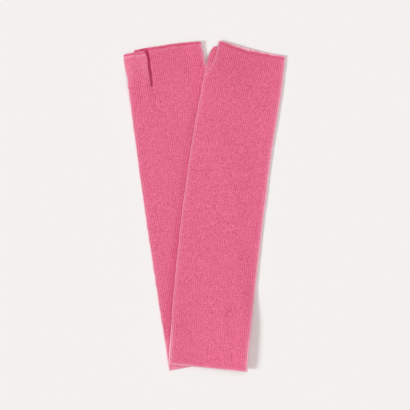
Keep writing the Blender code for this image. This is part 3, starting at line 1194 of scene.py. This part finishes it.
# %% Yarn group
yarn_group, entry, result = new_group(
    "yarn tone",
    (("Stitches", VECTOR), ("Position", VECTOR), ("Stitch contrast", FLOAT),
     ("Fleck contrast", FLOAT), ("Cloud contrast", FLOAT)),
    (("Tone", FLOAT),))
whole = add_node(yarn_group, "VectorMath", {0: entry.outputs["Stitches"]},
                 operation="FLOOR").outputs[0]
dye = add_node(yarn_group, "TexWhiteNoise", {"Vector": whole},
               noise_dimensions="2D").outputs["Value"]
flecks = add_node(yarn_group, "TexNoise",
                  {"Vector": entry.outputs["Position"], "Scale": 800.0, "Detail": 1.0,
                   "Roughness": 0.6}).outputs[0]
clouds = add_node(yarn_group, "TexNoise",
                  {"Vector": entry.outputs["Position"], "Scale": 45.0, "Detail": 3.0}).outputs[0]
tone = 0.5
for value, contrast in ((dye, "Stitch contrast"), (flecks, "Fleck contrast"),
                        (clouds, "Cloud contrast")):
    swing = maths(yarn_group, "SUBTRACT", value, 0.5)
    tone = maths(yarn_group, "MULTIPLY_ADD", swing, entry.outputs[contrast], tone)
yarn_group.links.new(tone, result.inputs["Tone"])

# %% [markdown]
# ## The knit material
#
# All six tubes are of one yarn. Its colour runs between a deep and a light pink with the yarn's tone,
# and the gaps between strands get a deeper painted shade. Fine loose fibres catch light that grazes
# the cloth, which the sheen of the shader gives. Near the arm opening the knit is a touch lighter.

# %% Knit material
DEEP_PINK = (0.676, 0.099, 0.197, 1.0)
LIGHT_PINK = (1.0, 0.239, 0.400, 1.0)
# The colour of painted shade in the gaps between strands.
GAP_SHADE_PINK = (0.540, 0.069, 0.147, 1.0)
# The deep colour of painted shade and of the knit's back.
BACK_AND_SHADE_PINK = (0.66, 0.070, 0.163, 1.0)
# The pale colour of painted highlight on folds, hems and lips.
PAINTED_SHEEN_PINK = (0.96, 0.55, 0.66, 1.0)
GAP_SHARE = 0.8
HEM_COURSES = 23.0
HEM_TONE = 0.04
BUMP_HEIGHT = 0.12 * MM

knit = bpy.data.materials.new("pink knit")
knit.use_nodes = True
tree = knit.node_tree
shader = tree.nodes["Principled BSDF"]
shader.inputs["Metallic"].default_value = 0.0
shader.inputs["Specular IOR Level"].default_value = 0.25
shader.inputs["Sheen Weight"].default_value = 0.12
shader.inputs["Sheen Roughness"].default_value = 0.5
shader.inputs["Sheen Tint"].default_value = (1.0, 0.80, 0.86, 1.0)

stitches = add_node(tree, "UVMap", {}, uv_map=STITCH_MAP).outputs["UV"]
position = add_node(tree, "TexCoord", {}).outputs["Object"]
stitch = add_node(tree, "Group", {"Stitches": stitches}, node_tree=stitch_group)
yarn = add_node(tree, "Group",
                {"Stitches": stitches, "Position": position, "Stitch contrast": 0.25,
                 "Fleck contrast": 2.5, "Cloud contrast": 0.08}, node_tree=yarn_group)

counts = add_node(tree, "SeparateXYZ", {0: stitches})
hem_band = add_node(tree, "MapRange",
                    {"Value": counts.outputs["Y"], "From Min": HEM_COURSES + 0.5,
                     "From Max": HEM_COURSES - 0.5}).outputs[0]
tone = maths(tree, "MULTIPLY_ADD", hem_band, HEM_TONE, yarn.outputs["Tone"])
yarn_colour = mixed(tree, tone, DEEP_PINK, LIGHT_PINK)
gap_share = maths(tree, "MULTIPLY", stitch.outputs["Gap"], GAP_SHARE)
face_colour = mixed(tree, gap_share, yarn_colour, GAP_SHADE_PINK)
# Above zero the edge tone paints shade in grooves, the crease and beside the right warmer, and shows
# the deeper back of the knit on rolled edges.
edge_tone = add_node(tree, "Attribute", {}, attribute_name=TONE_ATTRIBUTE).outputs["Fac"]
back_and_shade = mixed(tree, edge_tone, face_colour, BACK_AND_SHADE_PINK)
# Below zero the edge tone paints highlight in the pale sheen pink.
painted_sheen = maths(tree, "MULTIPLY", edge_tone, -1.0)
tree.links.new(mixed(tree, painted_sheen, back_and_shade, PAINTED_SHEEN_PINK), shader.inputs["Base Color"])
roughness = add_node(tree, "MapRange",
                     {"Value": yarn.outputs["Tone"], "To Min": 1.0, "To Max": 0.84}).outputs[0]
tree.links.new(roughness, shader.inputs["Roughness"])
bump = add_node(tree, "Bump",
                {"Height": stitch.outputs["Height"], "Strength": 1.0, "Distance": BUMP_HEIGHT})
tree.links.new(bump.outputs["Normal"], shader.inputs["Normal"])

for piece in pieces.values():
    piece.data.materials.append(knit)

# %% [markdown]
# ## Dressing the frame
#
# Each knitted piece stands for one solid of the frame. It rides on the frame's only body, and the
# solid is hidden. The table lists each piece as the sheet of cloth that it is: on a tube, the flat
# width is the whole way round.

# %% Hand the pieces over
SHEETS = {
    "left_arm_tube": (0.202, 0.354, ["floor"]),
    "left_hand_tube": (0.184, 0.046, ["floor"]),
    "left_thumb_tube": (0.058, 0.043, ["left_hand_knit"]),
    "right_arm_tube": (0.204, 0.354, ["left_arm_knit", "floor"]),
    "right_hand_tube": (0.183, 0.046, ["right_thumb_knit", "floor"]),
    "right_thumb_tube": (0.053, 0.038, ["floor"]),
}

for node, (width_round, length, under) in SHEETS.items():
    piece = pieces[node]
    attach(piece, "root")
    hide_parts(node)

# %% [markdown]
# ## A last look at the size
#
# Both boxes, of the solids and of what is shown, are printed side by side.

# %% Print the boxes and finish
shown_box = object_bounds()
boxes = {"solid": [list(corner) for corner in solid_box],
         "shown": [list(corner) for corner in shown_box]}
for label, box in boxes.items():
    print(label, "box in mm:", [[round(value * 1000, 1) for value in corner] for corner in box])
